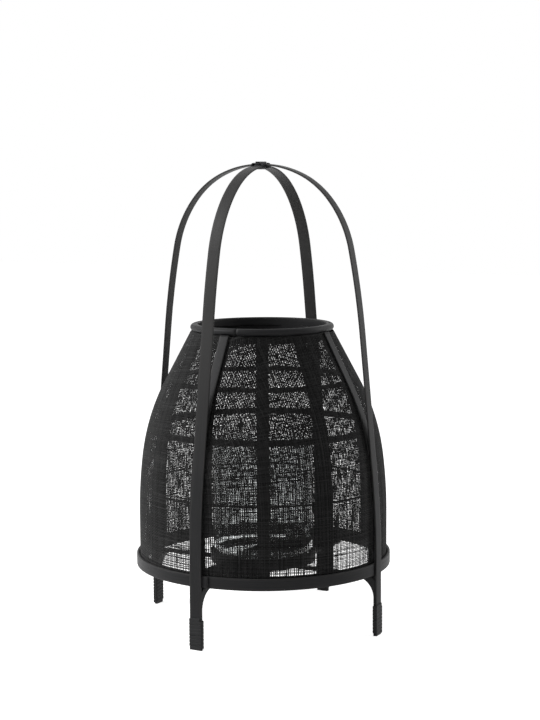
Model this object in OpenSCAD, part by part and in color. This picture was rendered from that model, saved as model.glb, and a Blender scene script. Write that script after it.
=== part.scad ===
// Candle lantern: a bell of open black cloth on a frame of bent bamboo strips, carried by two
// crossed hoops that run over the top as the handle and down to four feet. A loose glass
// cylinder for the candle stands on a board inside.
// Millimetres. Z is up, the floor is Z 0 and the axis of the bell is the Z axis.
// The front leg is at -Y, the right leg at +X.

/* [Hoops] */
// Height of the side hoop's outer face where the hoops cross
hoop_top = 500.4; // [480:0.2:520]
// Radius from the axis to the outer face of the legs at the floor
leg_radius = 141.4; // [141:0.2:144]
// Width of the side hoop's strip
side_w = 11.6; // [9:0.2:14]
// Width of the front hoop's strip
front_w = 14; // [10:0.5:14]
// Thickness of the hoop strips
hoop_t = 1.8; // [1.4:0.1:1.9]
// Height at which the side hoop's legs start to lean in
side_lean_z = 80; // [74:1:90]
// Lean of the side hoop's legs, in degrees
side_lean = 5.5; // [5:0.1:5.8]
// Height at which the front hoop's legs start to lean in
front_lean_z = 84; // [80:1:96]
// Lean of the front hoop's legs, in degrees
front_lean = 8.2; // [7.5:0.1:8.4]

/* [Bell] */
// Radius of the cloth at the foot of the bell
bell_radius = 135.4; // [130:0.2:135.6]
// Height of the bell's lower edge
bell_bottom = 66; // [66:1:70]
// Height of the top of the rim
rim_top = 328.7; // [322:0.1:334]
// Slope of the bell's upper cone from the vertical, in degrees
cone_slope = 27.85; // [26:0.05:28]
// Number of upright ribs
rib_count = 12; // [8:4:12]
// Width of the ribs
rib_w = 13; // [8:0.5:14]
// Thickness of the ribs
rib_t = 2.4; // [1.6:0.1:2.6]
// Thickness of the cloth
cloth_t = 0.9; // [0.6:0.1:0.9]
// Width of the smooth straps over the cloth seams
strap_w = 10.5; // [8:0.5:13]
// Thickness of the straps
strap_t = 1.8; // [1.2:0.1:1.8]

/* [Rings] */
// Height of the two rings at the foot of the bell
base_ring_h = 12.6; // [10:0.2:14]
// Thickness of the outer ring at the foot of the bell
base_ring_t = 3.1; // [2:0.1:3.1]
// Outer radius of the round bead at the rim
bead_radius = 78; // [77:0.5:80]
// Height of the bead at the rim
bead_h = 7.4; // [6:0.1:8]
// Height of the flat band inside the rim
rim_band_h = 16; // [12:0.5:20]
// Heights of the three stiffening rings inside the ribs
inner_ring_z = [151.6, 215.4, 267.4];
// Heights of the strips of those rings
inner_ring_h = [2, 6.6, 5];

/* [Base and glass] */
// Width of the strips that cross under the board
floor_w = 13; // [10:0.5:14]
// Thickness of those strips
floor_t = 1.6; // [1.2:0.1:1.6]
// Width of the board that carries the glass
board_w = 65; // [50:1:80]
// Thickness of the board
board_t = 3; // [2.5:0.5:4]
// Outer radius of the glass cylinder
glass_radius = 54.4; // [50:0.2:58]
// Height of the glass cylinder
glass_h = 130; // [100:1:135]
// Wall of the glass cylinder
glass_wall = 2.6; // [2:0.1:4]
// Thickness of its floor
glass_floor = 5; // [4:0.5:8]
// Height of the seat ring around the foot of the glass
seat_ring_h = 12.6; // [8:0.2:16]

/* [Weave] */
// Openings across each bay between two ribs
cloth_columns = 3; // [1:1:4]
// Width of an opening, as a part of the pitch of the columns
cloth_open = 0.66; // [0.4:0.02:0.8]
// Height of one row of openings, about
cloth_row_h = 20; // [15:1:40]
// Bar of cloth left between two rows
cloth_bar = 5; // [3:0.5:8]

/* [Lashings] */
// Height of the cane lashings on the feet
foot_lash_h = 33; // [25:1:35]
// Thickness of one layer of cane
cane_t = 0.8; // [0.3:0.1:1]
// Side of the square lashing at the crossing
cross_lash_w = 22.5; // [18:0.5:24]

/* [Hidden] */
$fn = 144;

bamboo = [0.17, 0.17, 0.17];
cane = [0.23, 0.23, 0.23];
cloth = [0.1, 0.1, 0.1];
gap = 0.3;                                  // clearance between curved pieces
chord_error = 0.03;                         // how far a bent strip's facets leave its curve
FRONT = -90;
RIGHT = 0;
BACK = 90;
LEFT = 180;

// Radius of the bend where each hoop's legs lean in, then the shoulder's tangent arcs,
// upwards from the leg: [radius, lean at its end]
side_bend = 980;
side_shoulder = [[900, 11.3], [119, 40.3], [98, 66.5]];
front_bend = 690;
front_shoulder = [[707, 13.2], [128, 37.7], [115, 50.1]];
// The bell's foot is upright up to belly_z, then follows two arcs up to the cone
belly_z = 122.6;
belly_r = 519;
belly_a = 7.1;
waist_r = 231;

rib_inset = cloth_t + gap;                   // outer face of the ribs, in from the cloth
ring_inset = rib_inset + rib_t + 0.15;       // inner rings, in from the cloth
band_r = bead_radius - 5.1;                  // outer radius of the band inside the rim
ring_t = 2.8;                                // thickness of the inner rings and the seat
bend_r = 22.7;                               // outer radius of the floor strips' bends
floor_z = 64.2;                              // top of the floor strips
foot_gap = 0.15;                             // between a leg and the floor strip inside it
foot_depth = hoop_t + foot_gap + floor_t;
board_z = floor_z + 0.2;
board_top = board_z + board_t;
pin_z = bell_bottom + base_ring_h / 2;
nail_y = [-100, -84, 84, 100];
cross_z = hoop_top - hoop_t - gap;           // outer face of the front hoop at the crossing

// ---- Strips: a chain of straight and curved lengths, turning towards the axis ----

function reversed(v) = [for (i = [len(v) - 1:-1:0]) v[i]];

// Number of chords that keep within chord_error of an arc
function arc_steps(r, angle) = ceil(angle / (2 * acos(1 - chord_error / r)));

// Outer face of a strip made of ["line", length] and ["arc", outer radius, angle] pieces,
// drawn one after the other upwards from p at a lean of a: a list of [x, z, lean]
function chain_face(pieces, p = [0, 0], a = 0, i = 0) =
    i == len(pieces) ? [[p[0], p[1], a]]
    : let (piece = pieces[i], size = piece[1])
        piece[0] == "line"
        ? concat([[p[0], p[1], a]],
                 chain_face(pieces, p + size * [-sin(a), cos(a)], a, i + 1))
        : let (centre = p - size * [cos(a), sin(a)], turn = piece[2],
               n = arc_steps(size, turn), end = a + turn)
            concat([for (k = [0:n - 1]) let (b = a + turn * k / n)
                        [centre[0] + size * cos(b), centre[1] + size * sin(b), b]],
                   chain_face(pieces, centre + size * [cos(end), sin(end)], end, i + 1));

// The strip itself, with its outer face at X 0 where it starts and its thickness towards -X
module chain(pieces, t, w) {
    face = chain_face(pieces);
    rotate([90, 0, 0])
        linear_extrude(height = w, center = true)
            polygon(concat(
                [for (q = face) [q[0], q[1]]],
                reversed([for (q = face) [q[0] - t * cos(q[2]), q[1] - t * sin(q[2])]])
            ));
}

// Half of a hoop: a leg that leans in at angle a, and a shoulder s of tangent arcs. Its
// straight length comes from the height asked for. x and z at the end of the shoulder are
// first worked out as if the straight length were zero
function sum(v, i = 0) = i < len(v) ? v[i] + sum(v, i + 1) : 0;
function lean_before(a, s, i) = i == 0 ? a : s[i - 1][1];
function lean_end(s) = s[len(s) - 1][1];
function shoulder_x(bend, a, s) = leg_radius - bend * (1 - cos(a))
    - sum([for (i = [0:len(s) - 1]) s[i][0] * (cos(lean_before(a, s, i)) - cos(s[i][1]))]);
function shoulder_z(z1, bend, a, s) = z1 + bend * sin(a)
    + sum([for (i = [0:len(s) - 1]) s[i][0] * (sin(s[i][1]) - sin(lean_before(a, s, i)))]);
// Rise from the shoulder to the top, for each unit of x left at the shoulder
function crown_rise(s) = (1 - sin(lean_end(s))) / cos(lean_end(s));
function straight_length(top, z1, bend, a, s) =
    (top - shoulder_z(z1, bend, a, s) - shoulder_x(bend, a, s) * crown_rise(s))
    / (cos(a) - sin(a) * crown_rise(s));
function crown_radius(top, z1, bend, a, s) =
    (shoulder_x(bend, a, s) - straight_length(top, z1, bend, a, s) * sin(a))
    / cos(lean_end(s));

function hoop_half(top, z1, bend, a, s) = concat(
    [["line", z1], ["arc", bend, a], ["line", straight_length(top, z1, bend, a, s)]],
    [for (i = [0:len(s) - 1]) ["arc", s[i][0], s[i][1] - lean_before(a, s, i)]]
);
function hoop_chain(top, z1, bend, a, s) = concat(
    hoop_half(top, z1, bend, a, s),
    [["arc", crown_radius(top, z1, bend, a, s), 180 - 2 * lean_end(s)]],
    reversed(hoop_half(top, z1, bend, a, s))
);

module hoop(top, z1, bend, a, s, w) {
    difference() {
        translate([leg_radius, 0, 0])
            chain(hoop_chain(top, z1, bend, a, s), hoop_t, w);
        for (side = [0, 180])
            rotate([0, 0, side])
                pin_hole();
    }
}

module hoop_side() {
    color(bamboo)
        hoop(hoop_top, side_lean_z, side_bend, side_lean, side_shoulder, side_w);
}

module hoop_front() {
    color(bamboo)
        rotate([0, 0, FRONT])
            hoop(cross_z, front_lean_z, front_bend, front_lean, front_shoulder, front_w);
}

// Domed lashing of cane around the crossing, with a channel for each hoop
module crossing_lashing() {
    low = cross_z - hoop_t - 2.6;
    high = hoop_top + 1.9;
    dome_r = 32;
    color(cane)
        difference() {
            intersection() {
                translate([-cross_lash_w / 2, -cross_lash_w / 2, low])
                    cube([cross_lash_w, cross_lash_w, high - low]);
                translate([0, 0, low])
                    cylinder(r = cross_lash_w * 0.64, h = high - low);
                translate([0, 0, high - dome_r])
                    sphere(dome_r);
                translate([0, 0, low + dome_r])
                    sphere(dome_r);
            }
            translate([-cross_lash_w, -side_w / 2 - 0.1, hoop_top - hoop_t - 0.7])
                cube([2 * cross_lash_w, side_w + 0.2, hoop_t + 0.8]);
            translate([-front_w / 2 - 0.1, -cross_lash_w, cross_z - hoop_t - 0.9])
                cube([front_w + 0.2, 2 * cross_lash_w, hoop_t + 1]);
        }
}

// ---- Feet and floor of the lantern ----

// Cane wound around the leg and the floor strip's upright end, seen here on the +X leg
module foot_lashing(leg_w) {
    w = max(leg_w, floor_w);
    color(cane)
        translate([leg_radius - foot_depth, 0, 0.6])
            difference() {
                translate([-cane_t, -w / 2 - cane_t, 0])
                    cube([foot_depth + 2 * cane_t, w + 2 * cane_t, foot_lash_h]);
                translate([-0.05, -w / 2 - 0.05, -1])
                    cube([foot_depth + 0.1, w + 0.1, foot_lash_h + 2]);
            }
}

module foot_lashing_front() { rotate([0, 0, FRONT]) foot_lashing(front_w); }
module foot_lashing_right() { rotate([0, 0, RIGHT]) foot_lashing(side_w); }
module foot_lashing_back() { rotate([0, 0, BACK]) foot_lashing(front_w); }
module foot_lashing_left() { rotate([0, 0, LEFT]) foot_lashing(side_w); }

// Block that fills the corner between a leg and the bend of a floor strip, on the +X side. Its
// thin ends lie inside the strip
module corner_block(outer) {
    side = bend_r - 0.1;
    translate([outer - bend_r, floor_w / 2, floor_z - bend_r])
        rotate([90, 0, 0])
            linear_extrude(floor_w)
                difference() {
                    intersection() {
                        translate([3, 3])
                            square(side - 3);
                        circle(1.3 * bend_r);
                    }
                    circle(bend_r - floor_t / 2);
                }
}

// Strip across the floor of the lantern, bent down at both ends to run inside the legs
module floor_strip() {
    outer = leg_radius - hoop_t - foot_gap;
    translate([outer, 0, 0])
        chain([
            ["line", floor_z - bend_r],
            ["arc", bend_r, 90],
            ["line", 2 * (outer - bend_r)],
            ["arc", bend_r, 90],
            ["line", floor_z - bend_r]
        ], floor_t, floor_w);
    corner_block(outer);
    rotate([0, 0, 180])
        corner_block(outer);
}

// The two floor strips cross in a half lap: side strip above, front strip below
module lap_notch(z) {
    translate([-floor_w / 2 - 0.1, -floor_w, z])
        cube([floor_w + 0.2, 2 * floor_w, floor_t]);
}

module floor_strip_side() {
    color(bamboo)
        difference() {
            floor_strip();
            lap_notch(floor_z - 1.5 * floor_t + 0.05);
        }
}

module floor_strip_front() {
    color(bamboo)
        difference() {
            rotate([0, 0, FRONT])
                floor_strip();
            rotate([0, 0, FRONT])
                lap_notch(floor_z - floor_t / 2 - 0.05);
            nail_holes(1);
        }
}

// Board under the glass, from front to back inside the base rings
module base_board() {
    color(bamboo)
        difference() {
            intersection() {
                translate([-board_w / 2, -bell_radius, board_z])
                    cube([board_w, 2 * bell_radius, board_t]);
                cylinder(r = bell_radius - ring_inset - ring_t - 0.5, h = board_top);
            }
            nail_holes(1);
        }
}

module nail_holes(r) {
    for (y = nail_y)
        translate([0, y, floor_z - floor_t - 1])
            cylinder(r = r, h = floor_t + board_t + 2);
}

module board_nails() {
    color("dimgray")
        for (y = nail_y)
            translate([0, y, floor_z - floor_t + 0.2])
                cylinder(r = 0.95, h = board_top - floor_z + floor_t - 0.3);
}

// ---- Rings ----

// Flat strip bent into a ring
module band(r, t, z, h) {
    translate([0, 0, z])
        difference() {
            cylinder(r = r, h = h);
            translate([0, 0, -1])
                cylinder(r = r - t, h = h + 2);
        }
}

// Hole for a pin through the leg and the base rings, on the +X side
module pin_hole(r = 1.05) {
    translate([leg_radius - 20, 0, pin_z])
        rotate([0, 90, 0])
            cylinder(r = r, h = 30);
}

module four_ways() {
    for (a = [FRONT, RIGHT, BACK, LEFT])
        rotate([0, 0, a])
            children();
}

module base_ring_outer() {
    color(bamboo)
        difference() {
            band(leg_radius - hoop_t - gap, base_ring_t, bell_bottom, base_ring_h);
            four_ways() pin_hole();
        }
}

module base_ring_inner() {
    color(bamboo)
        difference() {
            band(bell_radius - ring_inset, ring_t, bell_bottom + 0.3, base_ring_h - 0.3);
            four_ways() pin_hole();
        }
}

// Bamboo pins that hold each leg to the two base rings, flush on the leg
module leg_pins() {
    pin_in = bell_radius - ring_inset - ring_t;
    color(bamboo)
        four_ways()
            translate([pin_in, 0, pin_z])
                rotate([0, 90, 0])
                    cylinder(r = 1, h = leg_radius - 0.1 - pin_in);
}

// Half-round bead of split cane around the rim
module rim_bead() {
    r = bead_h / 2;
    color(bamboo)
        translate([0, 0, rim_top - r])
            rotate_extrude()
                intersection() {
                    translate([bead_radius - r, 0])
                        circle(r);
                    translate([band_r + gap, -r])
                        square([bead_radius, bead_h]);
                }
}

module rim_band() {
    color(bamboo)
        band(band_r, ring_t, rim_top - 0.4 - rim_band_h, rim_band_h);
}

// ---- The bell: every piece follows the same profile, inset by d from the cloth's face ----

// Height of the cone's lower end, and the cone's length up to the underside of the bead
cone_foot_z = belly_z + belly_r * sin(belly_a) + waist_r * (sin(cone_slope) - sin(belly_a));
cone_foot_r = bell_radius - belly_r * (1 - cos(belly_a))
    - waist_r * (cos(belly_a) - cos(cone_slope));
cone_l = (rim_top - bead_h - 0.4 - cone_foot_z) / cos(cone_slope);

function bell_chain(d, start) = [
    ["line", belly_z - start],
    ["arc", belly_r - d, belly_a],
    ["arc", waist_r - d, cone_slope - belly_a],
    ["line", cone_l]
];

// Radius of the profile at height z, inset by d
function sine_at(z) = (z - belly_z - belly_r * sin(belly_a)) / waist_r + sin(belly_a);
function bell_r(z, d) =
    z < belly_z ? bell_radius - d
    : z < belly_z + belly_r * sin(belly_a)
        ? bell_radius - belly_r + sqrt(belly_r * belly_r - pow(z - belly_z, 2)) - d
    : z < cone_foot_z
        ? cone_foot_r + waist_r * (cos(asin(sine_at(z))) - cos(cone_slope))
            - d / cos(asin(sine_at(z)))
    : cone_foot_r - (z - cone_foot_z) * tan(cone_slope) - d / cos(cone_slope);

// Flat slat bent to the bell, seen here on the +X side
module rib() {
    color(bamboo)
        difference() {
            translate([bell_radius - rib_inset, 0, bell_bottom + 0.3])
                chain(bell_chain(rib_inset, bell_bottom + 0.3), rib_t, rib_w);
            pin_hole();
        }
}

module rib_at(n) {
    if (n < rib_count)
        rotate([0, 0, FRONT + n * 360 / rib_count])
            rib();
}

module stiffening_ring(i) {
    z = inner_ring_z[i];
    h = inner_ring_h[i];
    color(bamboo)
        band(bell_r(z + h / 2, ring_inset), ring_t, z - h / 2, h);
}

module ring_low() { stiffening_ring(0); }
module ring_middle() { stiffening_ring(1); }
module ring_upper() { stiffening_ring(2); }

// Smooth strap over a cloth seam, from the bead down to where the leg closes on the bell.
// It starts on the waist arc, where the slope is a
module strap(a) {
    d = -(gap + strap_t);
    r = waist_r - d;
    color(bamboo)
        translate([cone_foot_r + waist_r * (cos(a) - cos(cone_slope)) - d * cos(a), 0,
                   cone_foot_z - waist_r * (sin(cone_slope) - sin(a)) - d * sin(a)])
            rotate([0, -a, 0])
                chain([["arc", r, cone_slope - a], ["line", cone_l]], strap_t, strap_w);
}

module strap_front() { rotate([0, 0, FRONT]) strap(17); }
module strap_right() { rotate([0, 0, RIGHT]) strap(9); }
module strap_back() { rotate([0, 0, BACK]) strap(17); }
module strap_left() { rotate([0, 0, LEFT]) strap(9); }

// Outline of the cloth at an inset d from its outer face
function profile(d, steps) = concat(
    [[bell_radius - d, bell_bottom + 0.6]],
    [for (i = [0:steps]) let (z = belly_z + (cone_foot_z - belly_z) * i / steps)
        [bell_r(z, d), z]],
    [[bell_r(rim_top - bead_h - 0.6, d), rim_top - bead_h - 0.6]]
);

// The open weave, as a plain grid of openings in the bays between the ribs. A bar of cloth lies
// over each ring, and the rows between two rings share the height evenly
module weave_openings() {
    levels = concat([bell_bottom + base_ring_h], inner_ring_z, [rim_top - 0.4 - rim_band_h]);
    bay = 360 / rib_count;
    pitch = bay / (cloth_columns + 1);
    for (i = [0:len(levels) - 2]) {
        rows = round((levels[i + 1] - levels[i]) / cloth_row_h);
        row_h = (levels[i + 1] - levels[i]) / rows;
        for (row = [0:rows - 1], rib = [0:90 / bay - 1], column = [1:cloth_columns])
            translate([0, 0, levels[i] + row * row_h + cloth_bar / 2])
                rotate([0, 0, rib * bay + (column - 0.5 * cloth_open) * pitch])
                    rotate_extrude(angle = cloth_open * pitch)
                        translate([bell_radius / 2, 0])
                            square([bell_radius, row_h - cloth_bar]);
    }
}

// Quarter of the cloth, between two legs; its edges meet under the straps
module cloth_panel() {
    half_seam = 0.7;
    color(cloth)
        difference() {
            rotate([0, 0, half_seam])
                rotate_extrude(angle = 90 - 2 * half_seam)
                    polygon(concat(profile(0, 14), reversed(profile(cloth_t, 14))));
            weave_openings();
        }
}

module cloth_front_right() { rotate([0, 0, FRONT]) cloth_panel(); }
module cloth_back_right() { rotate([0, 0, RIGHT]) cloth_panel(); }
module cloth_back_left() { rotate([0, 0, BACK]) cloth_panel(); }
module cloth_front_left() { rotate([0, 0, LEFT]) cloth_panel(); }

// ---- The glass and its seat ----

module glass_seat_ring() {
    color(bamboo)
        band(glass_radius + 0.5 + ring_t, ring_t, board_top, seat_ring_h);
}

// Straight glass cylinder with a thick floor, a rounded foot and a fire-polished rim
module glass_cylinder() {
    foot_r = 4;
    bore_r = glass_radius - glass_wall;
    color([0.8, 0.85, 0.85, 0.4])
        translate([0, 0, board_top + 0.05])
            difference() {
                rotate_extrude() {
                    square([glass_radius - foot_r, glass_h]);
                    translate([0, foot_r])
                        square([glass_radius, glass_h - foot_r - glass_wall / 2]);
                    translate([glass_radius - foot_r, foot_r])
                        circle(foot_r);
                    translate([glass_radius - glass_wall / 2, glass_h - glass_wall / 2])
                        circle(glass_wall / 2);
                }
                translate([0, 0, glass_floor])
                    cylinder(r = bore_r, h = glass_h);
            }
}

hoop_side();
hoop_front();
crossing_lashing();
foot_lashing_front();
foot_lashing_right();
foot_lashing_back();
foot_lashing_left();
floor_strip_side();
floor_strip_front();
base_board();
board_nails();
leg_pins();
base_ring_outer();
base_ring_inner();
rim_bead();
rim_band();
ring_low();
ring_middle();
ring_upper();
rib_at(0);  // rib_01
rib_at(1);  // rib_02
rib_at(2);  // rib_03
rib_at(3);  // rib_04
rib_at(4);  // rib_05
rib_at(5);  // rib_06
rib_at(6);  // rib_07
rib_at(7);  // rib_08
rib_at(8);  // rib_09
rib_at(9);  // rib_10
rib_at(10);  // rib_11
rib_at(11);  // rib_12
strap_front();
strap_right();
strap_back();
strap_left();
cloth_front_right();
cloth_back_right();
cloth_back_left();
cloth_front_left();
glass_seat_ring();
glass_cylinder();
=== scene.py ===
# %% [markdown]
# # A candle lantern of black bamboo and open cloth
# Two bent bamboo hoops cross over the top. They are handle, legs and feet in one, and a bell of
# dark, loosely woven cloth hangs between them around a glass cylinder for the candle.
# The first cell loads the construction model as a fixed frame. Every piece made below goes where
# that frame has its solid, so the script works in the same axes: Z up, the floor at 0, the front
# leg towards -Y and the right leg towards +X.

# %% Load the frame
from math import ceil, cos, pi, radians, sin

import bmesh
import bpy
import numpy as np
from mathutils import Matrix, Vector


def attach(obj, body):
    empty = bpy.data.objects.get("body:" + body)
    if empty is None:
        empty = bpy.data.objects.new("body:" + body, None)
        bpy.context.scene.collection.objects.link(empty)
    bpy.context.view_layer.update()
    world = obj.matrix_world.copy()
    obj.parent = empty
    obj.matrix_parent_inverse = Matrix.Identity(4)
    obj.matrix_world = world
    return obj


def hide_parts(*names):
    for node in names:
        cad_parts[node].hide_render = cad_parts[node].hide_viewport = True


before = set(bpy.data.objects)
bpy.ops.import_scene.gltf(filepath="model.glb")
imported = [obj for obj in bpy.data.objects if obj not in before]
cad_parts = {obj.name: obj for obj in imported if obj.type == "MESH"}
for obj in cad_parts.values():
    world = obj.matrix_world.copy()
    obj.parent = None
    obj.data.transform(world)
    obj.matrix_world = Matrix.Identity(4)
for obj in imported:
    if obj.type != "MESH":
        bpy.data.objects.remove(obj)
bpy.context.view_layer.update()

# %% [markdown]
# ## Camera
# The lantern is seen from a little above, with the front leg left of the middle. A long lens from
# nearly two metres keeps the uprights almost parallel. A tracking constraint would aim the camera
# at one point, but here it is written as a place and three directions, because an aim a little
# to the right of the lantern and a slight roll are then plain numbers.

# %% Camera
camera_side = radians(29.969)
camera_away, camera_height = 1.766, 0.486
camera_turn = camera_side - radians(0.2715)
camera_tip = radians(6.399)
camera_roll = radians(-0.3164)
camera_lens, camera_sees_to = 81.57, 30

forward = Vector((-sin(camera_turn) * cos(camera_tip), cos(camera_turn) * cos(camera_tip), -sin(camera_tip)))
level = Vector((cos(camera_turn), sin(camera_turn), 0))
upward = level.cross(forward)
right = level * cos(camera_roll) + upward * sin(camera_roll)
upward = right.cross(forward)

camera = bpy.data.objects.new("camera", bpy.data.cameras.new("camera"))
camera.data.lens = camera_lens
camera.data.clip_end = camera_sees_to
rotation = Matrix((right, upward, -forward)).transposed()
place = Vector((camera_away * sin(camera_side), -camera_away * cos(camera_side), camera_height))
camera.matrix_world = Matrix.Translation(place) @ rotation.to_4x4()
bpy.context.scene.collection.objects.link(camera)
bpy.context.scene.camera = camera
print("camera at", [round(v, 3) for v in camera.matrix_world.translation])

# %% [markdown]
# ## Floor, background and light
# The lantern stands on plain white in soft light from the upper left. A black object needs little
# light, so the white does not come from the lamps: camera, mirror and glass rays see white paper,
# while the lamps stay at a plain level. The floor keeps the soft shadow under the feet.

# %% Helpers for shader nodes
scene = bpy.context.scene
scene.view_settings.view_transform = "Standard"


def add(nodes, kind, **inputs):
    """A new shader node, with the values of its sockets."""
    made = nodes.new(kind)
    for name, value in inputs.items():
        made.inputs[name.replace("_", " ")].default_value = value
    return made


def calculate(tree, operation, *values):
    """A math node whose inputs are numbers or sockets."""
    made = tree.nodes.new("ShaderNodeMath")
    made.operation = operation
    for slot, value in zip(made.inputs, values):
        if isinstance(value, (int, float)):
            slot.default_value = value
        else:
            tree.links.new(value, slot)
    return made.outputs[0]


print("view transform:", scene.view_settings.view_transform)

# %% White world


def sees_paper(tree):
    """1 for camera, mirror and glass rays, and 0 for the rays that carry the lamps' light."""
    ray = add(tree.nodes, "ShaderNodeLightPath").outputs
    camera_or_mirror = calculate(tree, "MAXIMUM", ray["Is Camera Ray"], ray["Is Glossy Ray"])
    return calculate(tree, "MAXIMUM", camera_or_mirror, ray["Is Transmission Ray"])


def white_world(ambient):
    """Weak light from all round, and plain white paper wherever one looks past the floor."""
    world = bpy.data.worlds.new("white_studio")
    scene.world = world
    world.use_nodes = True
    nodes, links = world.node_tree.nodes, world.node_tree.links
    nodes.clear()
    around = add(nodes, "ShaderNodeBackground", Color=(1, 1, 1, 1), Strength=ambient)
    paper = add(nodes, "ShaderNodeBackground", Color=(1, 1, 1, 1), Strength=1.0)
    mix = add(nodes, "ShaderNodeMixShader")
    out = add(nodes, "ShaderNodeOutputWorld")
    links.new(sees_paper(world.node_tree), mix.inputs[0])
    links.new(around.outputs[0], mix.inputs[1])
    links.new(paper.outputs[0], mix.inputs[2])
    links.new(mix.outputs[0], out.inputs[0])


white_world(ambient=0.14)
print("world:", scene.world.name)

# %% [markdown]
# The floor could be a shadow catcher, but that would need a second image laid under the render.
# So it is matte paper that also glows towards the camera. The glow brings it to white, and a
# shadow still darkens the share of it that comes from the lamps.

# %% Paper floor


def paper_floor(size, lift):
    """A white floor that takes shadows. lift is the glow that keeps it white to the camera."""
    mesh = bpy.data.meshes.new("paper_floor")
    corners = [(-size, -size, 0), (size, -size, 0), (size, size, 0), (-size, size, 0)]
    mesh.from_pydata(corners, [], [(0, 1, 2, 3)])
    floor = bpy.data.objects.new("paper_floor", mesh)
    scene.collection.objects.link(floor)
    paper = bpy.data.materials.new("white_paper")
    paper.use_nodes = True
    nodes, links = paper.node_tree.nodes, paper.node_tree.links
    nodes.clear()
    matte = add(nodes, "ShaderNodeBsdfDiffuse", Color=(0.8, 0.8, 0.8, 1))
    glow = add(nodes, "ShaderNodeEmission", Color=(1, 1, 1, 1))
    strength = calculate(paper.node_tree, "MULTIPLY", sees_paper(paper.node_tree), lift)
    links.new(strength, glow.inputs["Strength"])
    both = add(nodes, "ShaderNodeAddShader")
    out = add(nodes, "ShaderNodeOutputMaterial")
    links.new(matte.outputs[0], both.inputs[0])
    links.new(glow.outputs[0], both.inputs[1])
    links.new(both.outputs[0], out.inputs[0])
    mesh.materials.append(paper)
    return floor


floor = paper_floor(size=6, lift=0.9)
print("floor:", floor.name, "of", len(floor.data.polygons), "face")

# %% [markdown]
# A large square lamp stands on either side. The key on the left is level with the lantern and the
# stronger one, and the lamp on the right stands a little behind it. One lamp at the camera would
# light everything evenly. From the sides, what faces the camera stays dark, while the light rakes
# over the cloth at both edges and shows its threads.

# %% Lamps
lamp_aim = Vector((0, 0, 0.25))


def soft_lamp(name, azimuth, rise, away, power, size):
    """A square lamp that looks at the middle of the lantern from an azimuth and a rise in degrees."""
    a, e = radians(azimuth), radians(rise)
    place = lamp_aim + away * Vector((cos(a) * cos(e), sin(a) * cos(e), sin(e)))
    light = bpy.data.lights.new(name, "AREA")
    light.energy, light.size = power, size
    lamp = bpy.data.objects.new(name, light)
    lamp.location = place
    lamp.rotation_mode = "QUATERNION"
    lamp.rotation_quaternion = (lamp_aim - place).to_track_quat("-Z", "Y")
    scene.collection.objects.link(lamp)


soft_lamp("key_lamp", azimuth=-145, rise=34, away=2.6, power=64, size=1.4)
soft_lamp("right_lamp", azimuth=42, rise=20, away=2.4, power=18, size=1.4)

# %% [markdown]
# ## Dimensions
# All sizes are in millimetres, as a basket maker would cut them, and are the same as in the
# construction model. Meshes are scaled to metres when they are made.

# %% Dimensions
MM = 0.001
LEG_RADIUS = 141.4
HOOP_THICK = 1.8
SIDE_WIDTH, FRONT_WIDTH = 11.6, 14.0
HOOP_TOP = 500.4
CROSS_TOP = HOOP_TOP - HOOP_THICK - 0.3
BELL_RADIUS, BELL_FOOT = 135.4, 66.0
WALL_TOP = 122.6
LOWER_BEND, LOWER_LEAN = 519, 7.1
UPPER_BEND, CONE_LEAN = 231, 27.85
RIM_TOP, BEAD_HEIGHT, BEAD_RADIUS = 328.7, 7.4, 78.0
BAND_RADIUS = BEAD_RADIUS - 5.1
CLOTH_THICK, RIB_THICK, RIB_WIDTH = 0.9, 2.4, 13.0
RING_THICK = 2.8
RIB_INSET = CLOTH_THICK + 0.3
RING_INSET = RIB_INSET + RIB_THICK + 0.15
BASE_RING_RADIUS = LEG_RADIUS - HOOP_THICK - 0.3
BASE_RING_THICK, BASE_RING_HEIGHT = 3.1, 12.6
FLOOR_Z, FLOOR_WIDTH, FLOOR_THICK, FLOOR_BEND = 64.2, 13.0, 1.6, 22.7
FLOOR_REACH = LEG_RADIUS - HOOP_THICK - 0.15
FOOT_DEPTH = LEG_RADIUS - FLOOR_REACH + FLOOR_THICK
BOARD_Z, BOARD_THICK = FLOOR_Z + 0.2, 3.0
BOARD_TOP = BOARD_Z + BOARD_THICK
GLASS_RADIUS, GLASS_HEIGHT, GLASS_WALL = 54.4, 130.0, 2.6
LEGS = {"front": -90, "right": 0, "back": 90, "left": 180}
print("bell:", 2 * BELL_RADIUS, "mm wide, rim at", RIM_TOP, "mm")

# %% [markdown]
# Two outlines rule the lantern, and both are chains of straight lengths and arcs that run on
# smoothly. The bell's goes up its wall, over two bends and up the cone. A hoop's goes from foot
# to foot: leg, bend, straight length, shoulders, crown and down again. Splines would be quicker
# to draw, but a bent strip really takes such arcs, and a chain gives its cut length.

# %% The bell's outline


def on_upper_bend(lean):
    """Radius and height of the cloth's face on its upper bend, where it leans by so many degrees."""
    low, here = radians(LOWER_LEAN), radians(lean)
    x = BELL_RADIUS - LOWER_BEND * (1 - cos(low)) - UPPER_BEND * (cos(low) - cos(here))
    z = WALL_TOP + LOWER_BEND * sin(low) + UPPER_BEND * (sin(here) - sin(low))
    return x, z


def bell_chain(inset, start):
    """The bell's outline, inset from the cloth's face: upright, two bends, then a straight cone."""
    cone = (RIM_TOP - BEAD_HEIGHT - 0.4 - on_upper_bend(CONE_LEAN)[1]) / cos(radians(CONE_LEAN))
    return [
        ("line", WALL_TOP - start),
        ("arc", LOWER_BEND - inset, LOWER_LEAN),
        ("arc", UPPER_BEND - inset, CONE_LEAN - LOWER_LEAN),
        ("line", cone),
    ]


print("straight cone of", round(bell_chain(0, BELL_FOOT)[-1][1], 1), "mm")

# %% The hoops' outlines


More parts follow.
